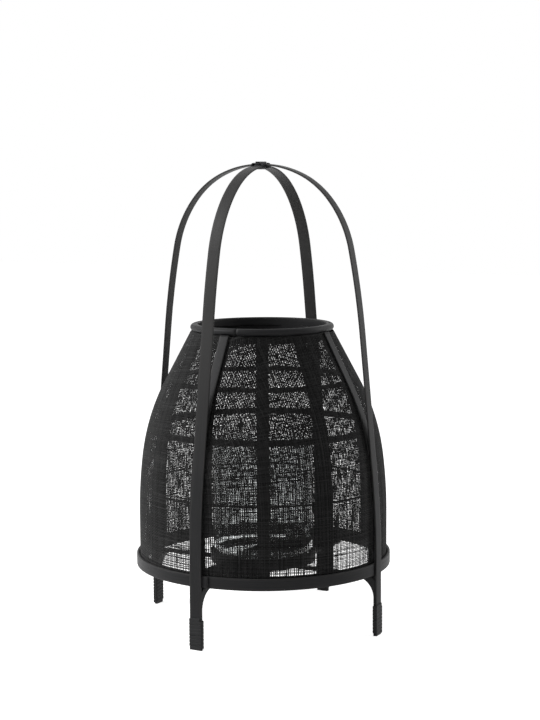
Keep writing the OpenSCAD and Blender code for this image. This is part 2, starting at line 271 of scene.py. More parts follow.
def hoop_chain(top, lean_z, bend, lean, shoulder):
    """One hoop from foot to foot. The straight length comes from the height asked for.

    The shoulder lists the radius of each arc and the lean in degrees at which it ends.
    """
    leans = [lean] + [end for _, end in shoulder]
    spans = [(r, radians(a), radians(b)) for (r, b), a in zip(shoulder, leans)]
    first, last = radians(lean), radians(leans[-1])
    x = LEG_RADIUS - bend * (1 - cos(first)) - sum(r * (cos(a) - cos(b)) for r, a, b in spans)
    z = lean_z + bend * sin(first) + sum(r * (sin(b) - sin(a)) for r, a, b in spans)
    rise = (1 - sin(last)) / cos(last)
    straight = (top - z - x * rise) / (cos(first) - sin(first) * rise)
    crown = (x - straight * sin(first)) / cos(last)
    half = [("line", lean_z), ("arc", bend, lean), ("line", straight)]
    half += [("arc", r, b - a) for (r, b), a in zip(shoulder, leans)]
    return half + [("arc", crown, 180 - 2 * leans[-1])] + half[::-1]


SIDE_SHOULDER = [(900, 11.3), (119, 40.3), (98, 66.5)]
FRONT_SHOULDER = [(707, 13.2), (128, 37.7), (115, 50.1)]
SIDE_HOOP = hoop_chain(HOOP_TOP, lean_z=80, bend=980, lean=5.5, shoulder=SIDE_SHOULDER)
FRONT_HOOP = hoop_chain(CROSS_TOP, lean_z=84, bend=690, lean=8.2, shoulder=FRONT_SHOULDER)
print("hoop chains:", len(SIDE_HOOP), "and", len(FRONT_HOOP), "lengths")

# %% [markdown]
# ## Bent strips
# Nearly every hard piece here is the same thing: a planed bamboo strip, steamed and bent. So one
# helper walks along a chain of straight and curved lengths, and another sweeps a cross-section
# with rounded edges along that walk. A curve with a bevel would do it too, but a mesh made by
# hand carries two things that the finish needs: a map that runs along the grain, in millimetres,
# and a mask that is 1 on the rounded edges.

# %% Walk along a chain


def follow(chain, start=(0.0, 0.0), lean=0.0, step=2.5):
    """Rows of x, z, lean in radians and distance, every few millimetres along the chain."""
    rows = [(*start, radians(lean), 0.0)]
    for kind, size, *turn in chain:
        x, z, tilt, walked = rows[-1]
        if kind == "line":
            n = ceil(size / step)
            for d in np.linspace(0, size, n + 1)[1:]:
                rows.append((x - d * sin(tilt), z + d * cos(tilt), tilt, walked + d))
        else:
            angle = radians(turn[0])
            n = ceil(size * angle / step) + 1
            for b in np.linspace(0, angle, n + 1)[1:]:
                rows.append((
                    x + size * (cos(tilt + b) - cos(tilt)),
                    z + size * (sin(tilt + b) - sin(tilt)),
                    tilt + b,
                    walked + size * b,
                ))
    return np.array(rows)


def turned_by(azimuth):
    """Matrix that turns rows of places or directions round the lantern's axis."""
    t = radians(azimuth)
    return np.array([[cos(t), sin(t), 0], [-sin(t), cos(t), 0], [0, 0, 1]])


def stand_up(rows, azimuth):
    """The walk turned to one azimuth: places on the outer face, outward and sideways directions."""
    x, z, tilt, walked = rows.T
    place = np.column_stack([x, 0 * x, z])
    out = np.column_stack([np.cos(tilt), 0 * x, np.sin(tilt)])
    aside = np.tile([0.0, 1.0, 0.0], (len(rows), 1))
    return place @ turned_by(azimuth), out @ turned_by(azimuth), aside @ turned_by(azimuth), walked


def go_round(radius, z, start=0.0, turn=360.0, step=2.5):
    """The same for a ring: round the axis at one height."""
    n = ceil(radius * radians(turn) / step)
    a = radians(start) + np.radians(np.linspace(0, turn, n + 1))
    out = np.stack([np.cos(a), np.sin(a), 0 * a], 1)
    place = radius * out + [0, 0, z]
    return place, out, np.tile([0.0, 0.0, 1.0], (len(a), 1)), radius * (a - a[0])


print("side hoop:", len(follow(SIDE_HOOP)), "steps from foot to foot")

# %% [markdown]
# The strip itself is a cross-section swept along such a walk. Its edges are rounded with three
# points each, which is enough for a soft highlight. What changes along the strip, such as a
# knuckle or a scarf, only moves its outer face in or makes it thinner, so the sweep takes those
# two as numbers per step.

# %% Cross-section of a strip


def planed(width, thick, corner=0.35, crown=0.08):
    """Outline of a planed strip: rows of across, depth under the outer face, and edge mask."""
    c = min(corner, 0.45 * thick)
    flat = np.linspace(-1, 1, 7) * (width / 2 - c)
    at_edge = [1.0, 0, 0, 0, 0, 0, 1.0]
    round_face = crown * (2 * flat / width) ** 2
    top = list(zip(flat, -round_face, at_edge))
    low = list(zip(flat[::-1], -thick + 0.3 * round_face[::-1], at_edge))
    turn = []
    for level, turns in ((-c - crown, (60, 30, 0)), (-thick + c, (0, -30, -60))):
        for b in turns:
            turn.append((width / 2 - c + c * cos(radians(b)), level + c * sin(radians(b)), 1.0))
    other = [(-a, d, e) for a, d, e in turn[::-1]]
    return np.array(top + turn + low + other)


print("outline of a leg:", len(planed(FRONT_WIDTH, HOOP_THICK)), "points")

# %% Mesh and sweep


def to_object(name, places, faces, material, maps=None, masks=None, smooth=True, solid=True):
    """A mesh object, in metres, from millimetres. A solid's faces are turned to look outwards."""
    mesh = bpy.data.meshes.new(name)
    mesh.from_pydata(np.asarray(places) * MM, [], faces)
    mesh.polygons.foreach_set("use_smooth", [smooth] * len(mesh.polygons))
    for key, values in (maps or {}).items():
        mesh.uv_layers.new(name=key).uv.foreach_set("vector", np.asarray(values, np.float32).ravel())
    for key, values in (masks or {}).items():
        mesh.attributes.new(key, "FLOAT", "POINT").data.foreach_set("value", np.asarray(values, np.float32))
    if solid:
        shell = bmesh.new()
        shell.from_mesh(mesh)
        if shell.calc_volume(signed=True) < 0:
            mesh.flip_normals()
        shell.free()
    mesh.materials.append(material)
    made = bpy.data.objects.new(name, mesh)
    scene.collection.objects.link(made)
    return made


def sweep(name, path, outline, material, sink=0.0, thin=1.0, closed=False):
    """Sweeps an outline along a path. sink lowers the outer face and thin scales the thickness."""
    place, out, aside, walked = path
    if closed:
        place, out, aside = place[:-1], out[:-1], aside[:-1]
    n, m = len(place), len(outline)
    across, depth, edge = outline.T
    sink = np.broadcast_to(sink, n)[:, None]
    thin = np.broadcast_to(thin, n)[:, None]
    depth = depth[None] * thin - sink
    points = place[:, None] + out[:, None] * depth[..., None] + aside[:, None] * across[None, :, None]
    rows = n if closed else n - 1
    i, k = np.meshgrid(np.arange(rows), np.arange(m), indexing="ij")
    j, k_next = (i + 1) % n, (k + 1) % m
    quads = np.stack([i * m + k, i * m + k_next, j * m + k_next, j * m + k], -1).reshape(-1, 4)
    girth = np.diff(np.vstack([outline, outline[:1]])[:, :2], axis=0)
    around = np.append(0, np.cumsum(np.hypot(*girth.T)))
    u = np.stack([walked[i], walked[i], walked[i + 1], walked[i + 1]], -1).reshape(-1)
    v = np.stack([around[k], around[k + 1], around[k + 1], around[k]], -1).reshape(-1)
    faces = quads.tolist()
    if not closed:
        faces += [list(range(m))[::-1], list(range((n - 1) * m, n * m))]
        u = np.concatenate([u, np.full(m, walked[0]) + depth[0, ::-1], np.full(m, walked[-1]) + depth[-1]])
        v = np.concatenate([v, across[::-1], across])
    return to_object(
        name, points.reshape(-1, 3), faces, material,
        maps={"grain": np.stack([u, v], -1)}, masks={"edge": np.tile(edge, n)},
    )


print("helpers:", to_object.__name__, "and", sweep.__name__)

# %% [markdown]
# ## Finishes
# The bamboo and the cane are stained black and rubbed matte. The stain sits unevenly: fibres
# show as fine streaks along the strip, and the rounded edges are rubbed a little lighter. A
# painted image could show both, but noise that is stretched along the grain map suits every
# strip, whatever its length. Both effects are node groups, because bamboo and cane use them with
# their own values.

# %% Helpers for node groups


def new_group(name, inputs, outputs):
    """An empty shader node group with named sockets."""
    group = bpy.data.node_groups.new(name, "ShaderNodeTree")
    for socket, kind, value in inputs:
        made = group.interface.new_socket(socket, in_out="INPUT", socket_type=kind)
        if value is not None:
            made.default_value = value
    for socket, kind in outputs:
        group.interface.new_socket(socket, in_out="OUTPUT", socket_type=kind)
    return group, group.nodes.new("NodeGroupInput"), group.nodes.new("NodeGroupOutput")


def spread(tree, value, low, high, to_low=0.0, to_high=1.0):
    """A map range node."""
    made = tree.nodes.new("ShaderNodeMapRange")
    tree.links.new(value, made.inputs["Value"])
    for slot, number in zip(("From Min", "From Max", "To Min", "To Max"), (low, high, to_low, to_high)):
        made.inputs[slot].default_value = number
    return made.outputs[0]


def noise(tree, vector, scale, detail=3.0, roughness=0.55):
    """A noise texture."""
    made = add(tree.nodes, "ShaderNodeTexNoise", Scale=scale, Detail=detail, Roughness=roughness)
    tree.links.new(vector, made.inputs["Vector"])
    return made.outputs[0]


def stretched(tree, vector, scale):
    """Coordinates scaled apart, so that noise becomes long in one direction."""
    made = tree.nodes.new("ShaderNodeMapping")
    made.inputs["Scale"].default_value = scale
    tree.links.new(vector, made.inputs["Vector"])
    return made.outputs[0]


print("helpers:", new_group.__name__, spread.__name__, noise.__name__, "and", stretched.__name__)

# %% Node group: fibres along the grain
FINE_FIBRE, COARSE_FIBRE, CLOUDS = (0.03, 2.6, 1), (0.012, 0.55, 1), (0.02, 0.06, 1)
fibres, inside, outside = new_group(
    "fibres",
    [("Vector", "NodeSocketVector", None), ("Fineness", "NodeSocketFloat", 1.0)],
    [("Streaks", "NodeSocketFloat"), ("Blotches", "NodeSocketFloat"), ("Height", "NodeSocketFloat")],
)
grown = fibres.nodes.new("ShaderNodeVectorMath")
grown.operation = "SCALE"
fibres.links.new(inside.outputs["Vector"], grown.inputs[0])
fibres.links.new(inside.outputs["Fineness"], grown.inputs["Scale"])
fine = noise(fibres, stretched(fibres, grown.outputs[0], FINE_FIBRE), 1.0, 4.0, 0.7)
coarse = noise(fibres, stretched(fibres, grown.outputs[0], COARSE_FIBRE), 1.0, 2.0)
cloudy = noise(fibres, stretched(fibres, grown.outputs[0], CLOUDS), 1.0, 2.0)
fine_part = calculate(fibres, "MULTIPLY", fine, 0.6)
streaks = calculate(fibres, "ADD", fine_part, calculate(fibres, "MULTIPLY", coarse, 0.4))
fibres.links.new(spread(fibres, streaks, 0.3, 0.7), outside.inputs["Streaks"])
fibres.links.new(spread(fibres, cloudy, 0.3, 0.7), outside.inputs["Blotches"])
fibres.links.new(spread(fibres, fine, 0.25, 0.75), outside.inputs["Height"])
print("group:", fibres.name, "of", len(fibres.nodes), "nodes")

# %% [markdown]
# Rubbing takes the stain off the rounded edges first, and only in places. The mask that every
# sweep carries says where the edges are, and a noise breaks it up.

# %% Node group: rubbed edges
WORN_SPOTS = (0.08, 0.8, 1)
rubbed, inside, outside = new_group(
    "rubbed_edges",
    [("Vector", "NodeSocketVector", None), ("Amount", "NodeSocketFloat", 0.5)],
    [("Mask", "NodeSocketFloat")],
)
edge = rubbed.nodes.new("ShaderNodeAttribute")
edge.attribute_name = "edge"
spots = noise(rubbed, stretched(rubbed, inside.outputs["Vector"], WORN_SPOTS), 1.0)
patchy = calculate(rubbed, "MULTIPLY", edge.outputs["Fac"], spread(rubbed, spots, 0.35, 0.7))
mask = calculate(rubbed, "MULTIPLY", patchy, inside.outputs["Amount"])
rubbed.links.new(mask, outside.inputs["Mask"])
print("group:", rubbed.name, "of", len(rubbed.nodes), "nodes")

# %% [markdown]
# A finish is then short: the groups feed the colour, the roughness and the bump of one
# Principled shader. The stain swallows most of the mirror light, so its specular level is low,
# and a rough surface spreads what is left. On the hoops the colour goes over to the rubbed one
# between two heights: painted light that makes them lighter higher up.

# %% Helpers for finishes


def principled(name, **inputs):
    """A material with one Principled shader, and the values of its sockets."""
    material = bpy.data.materials.new(name)
    material.use_nodes = True
    shader = material.node_tree.nodes["Principled BSDF"]
    for socket, value in inputs.items():
        shader.inputs[socket.replace("_", " ")].default_value = value
    return material, material.node_tree, shader


def object_place(tree):
    """Coordinates in the piece's own axes, in metres."""
    return tree.nodes.new("ShaderNodeTexCoord").outputs["Object"]


def emboss(tree, shader, height, strength, distance):
    """Bump from a height, for the shader's normal."""
    relief = add(tree.nodes, "ShaderNodeBump", Strength=strength, Distance=distance)
    tree.links.new(height, relief.inputs["Height"])
    tree.links.new(relief.outputs[0], shader.inputs["Normal"])


def mix_colours(tree, factor, first, second):
    """A colour between two colours or sockets. A Mix node takes them at its sockets 6 and 7."""
    made = tree.nodes.new("ShaderNodeMix")
    made.data_type = "RGBA"
    tree.links.new(factor, made.inputs[0])
    for slot, value in ((6, first), (7, second)):
        if isinstance(value, tuple):
            made.inputs[slot].default_value = (*value, 1)
        else:
            tree.links.new(value, made.inputs[slot])
    return made.outputs[2]


def use_group(tree, group, **inputs):
    """A node group placed in a material, with numbers or sockets for its inputs."""
    made = tree.nodes.new("ShaderNodeGroup")
    made.node_tree = group
    for name, value in inputs.items():
        if isinstance(value, (int, float)):
            made.inputs[name].default_value = value
        else:
            tree.links.new(value, made.inputs[name])
    return made


print("helpers:", principled.__name__, emboss.__name__, mix_colours.__name__, "and", use_group.__name__)

# %% Bamboo and cane finishes
LEVEL_OF_STAIN = 0.12
# heights in metres between which the hoops take painted light, lighter higher up
PAINTED_LIGHT_FROM, PAINTED_LIGHT_TO = 0.16, 0.33


def stained(name, dark, light, rubbed_and_painted_light, fineness=1.0, bump=0.25, painted_light_high=0.0):
    """Black stain over fibres that run along the grain map, with painted light that lightens it high up."""
    material, tree, shader = principled(name, Specular_IOR_Level=LEVEL_OF_STAIN)
    grain = tree.nodes.new("ShaderNodeUVMap")
    grain.uv_map = "grain"
    fibre = use_group(tree, fibres, Vector=grain.outputs[0], Fineness=fineness)
    edges = use_group(tree, rubbed, Vector=grain.outputs[0], Amount=0.7)
    colour = mix_colours(tree, fibre.outputs["Streaks"], dark, light)
    deep = mix_colours(tree, spread(tree, fibre.outputs["Blotches"], 0, 1, 0.0, 0.45), colour, dark)
    place = tree.nodes.new("ShaderNodeSeparateXYZ")
    tree.links.new(object_place(tree), place.inputs[0])
    # painted light: between two heights the colour goes over to the rubbed one, so the hoops are lighter
    # higher up
    high = spread(tree, place.outputs["Z"], PAINTED_LIGHT_FROM, PAINTED_LIGHT_TO, 0.0, painted_light_high)
    polished = mix_colours(tree, high, deep, rubbed_and_painted_light)
    tree.links.new(mix_colours(tree, edges.outputs["Mask"], polished, rubbed_and_painted_light), shader.inputs["Base Color"])
    tree.links.new(spread(tree, fibre.outputs["Streaks"], 0, 1, 0.4, 0.56), shader.inputs["Roughness"])
    emboss(tree, shader, fibre.outputs["Height"], bump, 0.0002)
    return material


# the rubbed colour is the worn edges, and on the hoops it is also the painted light high up
BLACK, WORN_BLACK, RUBBED_AND_PAINTED_LIGHT = (0.014, 0.014, 0.015), (0.031, 0.031, 0.032), (0.055, 0.054, 0.053)
bamboo = stained("black_bamboo", BLACK, WORN_BLACK, RUBBED_AND_PAINTED_LIGHT)
# the hoops' bamboo, with painted light that lightens it higher up
bamboo_with_painted_light = stained("black_bamboo_painted_light", BLACK, WORN_BLACK, RUBBED_AND_PAINTED_LIGHT, painted_light_high=0.65)
CANE_DARK, CANE_LIGHT, CANE_RUBBED = (0.018, 0.018, 0.019), (0.042, 0.042, 0.043), (0.058, 0.058, 0.058)
cane = stained("black_cane", CANE_DARK, CANE_LIGHT, CANE_RUBBED, fineness=1.6, bump=0.4)
print("finishes:", bamboo.name, bamboo_with_painted_light.name, cane.name)

# %% [markdown]
# ## The hoops
# The side hoop is 11.6 mm wide and lies over the front hoop, which is 14 mm wide. Each is one
# steamed strip from foot to foot. Bamboo swells at its joints, and some of that shows even on a
# planed strip. A bump map would show it, but not in the outline, so the outer face itself rises
# a tenth of a millimetre at a few places along the length.

# %% Hoops
rng = np.random.default_rng(7)
KNUCKLE, KNUCKLE_REACH = 0.1, 2.2


def knuckles(walked, places):
    """How far the outer face lies under its highest level, with ridges at the bamboo's joints."""
    ridge = sum(np.exp(-((walked - p) / KNUCKLE_REACH) ** 2) for p in places)
    return KNUCKLE * (1 - np.clip(ridge, 0, 1))


def fit_in(made, node, body="frame"):
    """The piece moves with a body and stands for a node."""
    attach(made, body)
    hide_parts(node)


def strip(node, path, width, thick, joints=(), finish=bamboo, **more):
    """A planed bamboo strip along a path, which stands for a node."""
    outline = planed(width, thick - KNUCKLE)
    made = sweep(node + "_bent", path, outline, finish, sink=knuckles(path[3], joints), **more)
    fit_in(made, node)


for node, chain, azimuth, width, joints in (
    ("hoop_side", SIDE_HOOP, 0, SIDE_WIDTH, (210, 505, 790, 1040)),
    ("hoop_front", FRONT_HOOP, -90, FRONT_WIDTH, (150, 415, 700, 960)),
):
    path = stand_up(follow(chain, (LEG_RADIUS, 0)), azimuth)
    strip(node, path, width, HOOP_THICK, joints, finish=bamboo_with_painted_light)
    print(node, "is cut", round(path[3][-1]), "mm long")

# %% [markdown]
# ## Rings
# The outer base ring is one strip scarfed over itself: the thin end shows as a step just right
# of the front leg. It could be a closed ring with a groove cut in, but a strip that is swept a
# little more than once round, and whose hidden end sinks under the visible one, has the true
# step. The joints of the other rings are out of sight, so those are plain closed sweeps.

# %% Rings


def bell_radius(z, inset):
    """Radius of the bell at a height, inset from the cloth's face."""
    rows = follow(bell_chain(inset, BELL_FOOT), (BELL_RADIUS - inset, BELL_FOOT), step=1)
    return float(np.interp(z, rows[:, 1], rows[:, 0]))


def ring(node, radius, z, height):
    """A closed flat ring between two heights."""
    strip(node, go_round(radius, z + height / 2), height, RING_THICK, closed=True)


VISIBLE_END_THINS, HIDDEN_END_THINS = 0.55, 0.5


def scarf(walked, lap, fade, drop):
    """Sink and thinning of a strip that starts under its own far end."""
    rise = np.clip((walked - lap) / fade, 0, 1)
    sink = drop * (1 - rise * rise * (3 - 2 * rise))
    over = np.clip((walked - (walked[-1] - lap)) / lap, 0, 1)
    return sink, 1 - VISIBLE_END_THINS * over - HIDDEN_END_THINS * (sink / drop)


lap_end = -90 + 5.7
lap_turn = 16
lap = BASE_RING_RADIUS * radians(lap_turn)
path = go_round(BASE_RING_RADIUS, BELL_FOOT + BASE_RING_HEIGHT / 2, lap_end - lap_turn, 360 + lap_turn)
sink, thin = scarf(path[3], lap, fade=60, drop=1.5)
outline = planed(BASE_RING_HEIGHT, BASE_RING_THICK - KNUCKLE, corner=0.7)
sink = sink + knuckles(path[3], (120, 420, 730))
outer_ring = sweep("base_ring_outer_bent", path, outline, bamboo, sink=sink, thin=thin)
fit_in(outer_ring, "base_ring_outer")

ring("base_ring_inner", BELL_RADIUS - RING_INSET, BELL_FOOT + 0.3, BASE_RING_HEIGHT - 0.3)
band_height, seat_height, seat_slack = 16, 12.6, 0.5
ring("rim_band", BAND_RADIUS, RIM_TOP - 0.4 - band_height, band_height)
for node, z, height in (("ring_low", 151.6, 2.0), ("ring_middle", 215.4, 6.6), ("ring_upper", 267.4, 5.0)):
    ring(node, bell_radius(z + height / 2, RING_INSET), z - height / 2, height)
ring("glass_seat_ring", GLASS_RADIUS + seat_slack + RING_THICK, BOARD_TOP, seat_height)
print("outer ring laps", round(lap), "mm")

# %% [markdown]
# The bead around the rim is a split cane with a round back. A torus would be quicker, but the
# bead is flat where it is glued to the band. Its two ends meet in a small butt joint on the
# front, which reads as a dark line across it, so it is an open sweep that stops just short.

# %% Bead
bead_r = BEAD_HEIGHT / 2
cut = BEAD_RADIUS - bead_r - (BAND_RADIUS + 0.3)
open_angle = np.degrees(np.arccos(-cut / bead_r))
turns = np.radians(np.linspace(open_angle, -open_angle, 19))
bead_outline = np.stack([bead_r * np.sin(turns), bead_r * (np.cos(turns) - 1), 0 * turns], 1)
bead_outline[[0, -1], 2] = 1
bead_joint, bead_gap = -90 + 9, 0.5
path = go_round(BEAD_RADIUS, RIM_TOP - bead_r, bead_joint + bead_gap / 2, 360 - bead_gap)
to_end = np.minimum(path[3], path[3][-1] - path[3])
worn_end, worn_reach = 0.25, 1.2
worn = worn_end * np.exp(-to_end / worn_reach)
bead = sweep("rim_bead_bent", path, bead_outline, bamboo, sink=worn)
fit_in(bead, "rim_bead")
print("bead: joint of", bead_gap, "degrees")

# %% [markdown]
# ## Ribs, straps and floor strips
# Twelve slats stand behind the cloth and give the bell its facets of shade. Four smooth straps
# cover the seams of the cloth on the cone, and those at the sides start lower down. A shape drawn
# for each would drift from the bell when a size changes, so both follow the bell's own outline,
# a little further in or out.

# %% Ribs and straps
rib_foot = (BELL_RADIUS - RIB_INSET, BELL_FOOT + 0.3)
rib_rows = follow(bell_chain(RIB_INSET, rib_foot[1]), rib_foot)
for n in range(12):
    path = stand_up(rib_rows, -90 + 30 * n)
    strip(f"rib_{n + 1:02d}", path, RIB_WIDTH, RIB_THICK, rng.uniform(20, 250, 1))

strap_thick, strap_width = 1.8, 10.5
proud = 0.3 + strap_thick
strap_begins = {"front": 17, "right": 9, "back": 17, "left": 9}
for side, azimuth in LEGS.items():
    begin = strap_begins[side]
    x, z = on_upper_bend(begin)
    foot = (x + proud * cos(radians(begin)), z + proud * sin(radians(begin)))
    chain = [("arc", UPPER_BEND + proud, CONE_LEAN - begin), bell_chain(0, BELL_FOOT)[-1]]
    path = stand_up(follow(chain, foot, begin), azimuth)
    strip(f"strap_{side}", path, strap_width, strap_thick)
print("strap foot at", [round(v, 1) for v in foot])

# %% [markdown]
# Two strips cross under the board and turn down inside the legs, so each is one chain: up, round
# the corner, across, and down again. Where they cross, each gives up half of its thickness, which
# is what a maker does with a knife. The upper one loses its lower half and keeps its level.

# %% Floor strips
down, bent = ("line", FLOOR_Z - FLOOR_BEND), ("arc", FLOOR_BEND, 90)
floor_chain = [down, bent, ("line", 2 * (FLOOR_REACH - FLOOR_BEND)), bent, down]
for node, azimuth, half_lap in (("floor_strip_side", 0, 0.0), ("floor_strip_front", -90, 0.8)):
    path = stand_up(follow(floor_chain, (FLOOR_REACH, 0)), azimuth)
    crossing = np.abs(path[3] - path[3][-1] / 2) < FLOOR_WIDTH / 2 + 0.5
    thin = np.where(crossing, 0.5, 1.0)
    sink = np.where(crossing, half_lap, 0.0)
    outline = planed(FLOOR_WIDTH, FLOOR_THICK)
    made = sweep(node + "_bent", path, outline, bamboo, sink=sink, thin=thin)
    fit_in(made, node)
print("floor strips turn down at", round(FLOOR_REACH - FLOOR_BEND), "mm from the axis")

# %% [markdown]
# ## The board and its corner blocks
# The board under the glass is glued up from three bamboo slats. It runs from the front to the
# back of the inner base ring, so its ends are cut to that curve. A box with a boolean cut would
# leave sharp ends, so each slat is built from its outline, with a small chamfer all round.

# %% Board


def plate(name, outline, low, high, bevel):
    """A flat bamboo plate with a chamfered edge, from an outline of x and y."""
    outline = np.array(outline)
    n = len(outline)
    rays = outline - outline.mean(axis=0)
    inward = outline - bevel * rays / np.linalg.norm(rays, axis=1, keepdims=True)
    layers = [(inward, low), (outline, low + bevel), (outline, high - bevel), (inward, high)]
    places = np.vstack([np.column_stack([xy, np.full(n, z)]) for xy, z in layers])
    i, k = np.meshgrid(np.arange(n), np.arange(3) * n)
    j = (i + 1) % n
    faces = np.stack([k + i, k + j, k + n + j, k + n + i], -1).reshape(-1, 4).tolist()
    faces += [list(range(n))[::-1], list(range(3 * n, 4 * n))]
    loops = [v for face in faces for v in face]
    grain = np.stack([places[loops, 1], places[loops, 0]], 1)
    edges = np.concatenate([np.full(n, 0.3), np.ones(2 * n), np.full(n, 0.3)])
    return to_object(name, places, faces, bamboo, {"grain": grain}, {"edge": edges}, smooth=False)


board_reach = BELL_RADIUS - RING_INSET - RING_THICK - 0.6
slat_width, slat_gap = 21.6, 0.1
for n in range(3):
    middle = (n - 1) * (slat_width + slat_gap)
    x = np.linspace(middle - slat_width / 2, middle + slat_width / 2, 9)
    y = np.sqrt(board_reach**2 - x * x)
    outline = np.vstack([np.column_stack([x, -y]), np.column_stack([x, y])[::-1]])
    slat = plate(f"board_slat_{n + 1}", outline, BOARD_Z, BOARD_TOP, bevel=0.4)
    fit_in(slat, "base_board")
print("board slats reach", round(board_reach, 1), "mm")

# %% [markdown]
# A small block is glued into each corner between a leg and the bend of the floor strip. It keeps
# the bend from opening, and it closes the gap that would show under the base ring. It is the
# same plate as a board slat, with another outline, stood on its edge.

# %% Corner blocks
bend_face, block_side, block_tip, block_cut = FLOOR_BEND - 0.8, FLOOR_BEND - 0.1, 3.1, 18.9
inner_arc = np.radians(np.linspace(8, 82, 9))
block_outline = [(bend_face * cos(b), bend_face * sin(b)) for b in inner_arc]
block_outline += [(block_tip, block_side), (block_cut, block_side)]
block_outline += [(block_side, block_cut), (block_side, block_tip)]
corner = Vector((FLOOR_REACH - FLOOR_BEND, 0, FLOOR_Z - FLOOR_BEND)) * MM
upright = Matrix.Translation(corner) @ Matrix.Rotation(pi / 2, 4, "X")
for side, azimuth in LEGS.items():
    block = plate(f"corner_block_{side}", block_outline, -FLOOR_WIDTH / 2, FLOOR_WIDTH / 2, bevel=0.3)
    block.data.transform(Matrix.Rotation(radians(azimuth), 4, "Z") @ upright)
    fit_in(block, "floor_strip_side" if side in ("right", "left") else "floor_strip_front")
print("corner blocks:", len(LEGS))

# %% [markdown]
# ## Pins and nails
# Flush bamboo pins hold the legs to the rings, and four wire nails hold the board. Both are
# turned shapes: a short outline spun round an axis. Blender's Screw modifier does the same, but
# it would not write the grain map and the edge mask that the finish reads.

# %% Turned shapes
FACET_GRAIN = 0.3


def spin(name, outline, material, origin=(0, 0, 0), lies_at=None, steps=24):
    """Turns an outline of radius and height round Z, or round a level axis at an azimuth."""
    r, h = np.array(outline, float).T
    a = np.linspace(0, 2 * pi, steps, endpoint=False)
    n, m = steps, len(r)
    places = np.stack([np.outer(np.cos(a), r), np.outer(np.sin(a), r), np.tile(h, (n, 1))], -1).reshape(-1, 3)
    if lies_at is not None:
        places = places[:, [2, 0, 1]] @ turned_by(lies_at)
    i, k = np.meshgrid(np.arange(n), np.arange(m - 1), indexing="ij")
    j, k_next = (i + 1) % n, k + 1
    faces = np.stack([i * m + k, j * m + k, j * m + k_next, i * m + k_next], -1).reshape(-1, 4)
    u = np.stack([h[k], h[k], h[k_next], h[k_next]], -1).reshape(-1)
    v = np.stack([i, i + 1, i + 1, i], -1).reshape(-1) * FACET_GRAIN
    maps, masks = {"grain": np.stack([u, v], -1)}, {"edge": np.zeros(len(places))}
    return to_object(name, places + np.array(origin), faces.tolist(), material, maps, masks)


tip, pin_edge, pin_r = 0.02, 0.85, 1.0
pin_in, pin_out = BELL_RADIUS - RING_INSET - RING_THICK, LEG_RADIUS - 0.1
pin_outline = [(tip, pin_in), (pin_edge, pin_in), (pin_r, pin_in + 0.2)]
pin_outline += [(pin_r, pin_out - 0.2), (pin_edge, pin_out), (tip, pin_out)]
for side, azimuth in LEGS.items():
    pin = spin(f"pin_{side}", pin_outline, bamboo, (0, 0, BELL_FOOT + BASE_RING_HEIGHT / 2), azimuth)
    fit_in(pin, "leg_pins")
print("pins:", len(LEGS), "of", round(pin_out - pin_in, 1), "mm")

# %% [markdown]
# The nails are dull wire with a breath of rust. A metal shader needs little: one noise mixes
# steel with rust and makes the rust rougher.

# %% Nails
steel, tree, shader = principled("dull_nail_wire", Metallic=1)
rust = noise(tree, object_place(tree), 900.0, 4.0)
steel_colour = mix_colours(tree, spread(tree, rust, 0.45, 0.7), (0.2, 0.2, 0.21), (0.09, 0.07, 0.06))
tree.links.new(steel_colour, shader.inputs["Base Color"])
tree.links.new(spread(tree, rust, 0.3, 0.7, 0.35, 0.6), shader.inputs["Roughness"])
head, head_r, wire_r, point = BOARD_TOP + 0.45, 1.9, 0.95, FLOOR_Z - FLOOR_THICK
nail_outline = [(tip, head), (1.1, head - 0.08), (head_r, head - 0.3), (head_r, BOARD_TOP)]
nail_outline += [(wire_r, BOARD_TOP), (wire_r, point + 0.6), (tip, point + 0.2)]
for n, y in enumerate((-100, -84, 84, 100)):
    nail = spin(f"nail_{n + 1}", nail_outline, steel, (0, y, 0))
    fit_in(nail, "board_nails")
print("nails:", n + 1)

# %% [markdown]
# ## Cane lashings
# Each foot is wound with eight turns of flat cane around the leg and the floor strip inside it.
# A stack of eight rings would look much the same from afar, but the real winding climbs and has
# a loose end, so it is one helix round a rectangle with rounded corners. Each turn is crowned,
# and the outline of the foot is gently scalloped.

# %% Foot lashings


def round_box(depth, width, corner, count):
    """Points and outward directions round a rectangle with rounded corners, evenly spaced."""
    bend = ("arc", corner, 90)
    half = [("line", width - 2 * corner), bend, ("line", depth - 2 * corner), bend]
    rows = follow(2 * half, (depth / 2, -width / 2 + corner), step=0.3)
    even = np.linspace(0, rows[-1, 3], count, endpoint=False)
    x, y, tilt = (np.interp(even, rows[:, 3], rows[:, k]) for k in range(3))
    return np.stack([x, y], 1), np.stack([np.cos(tilt), np.sin(tilt)], 1), rows[-1, 3]


def flat_cane(width, thick, power=0.4):
    """Outline of split cane: a flat inside and a back that is round towards its edges."""
    t = np.radians(np.linspace(0, 180, 11))
    return np.stack([width / 2 * np.cos(t), thick * (np.sin(t).clip(0) ** power - 1), 0 * t], 1)


CANE_WIDE, CANE_THICK, CANE_PITCH = 3.72, 0.75, 3.7
FOOT_TURNS, STEPS_ROUND, LOOSE = 8, 64, 0.18


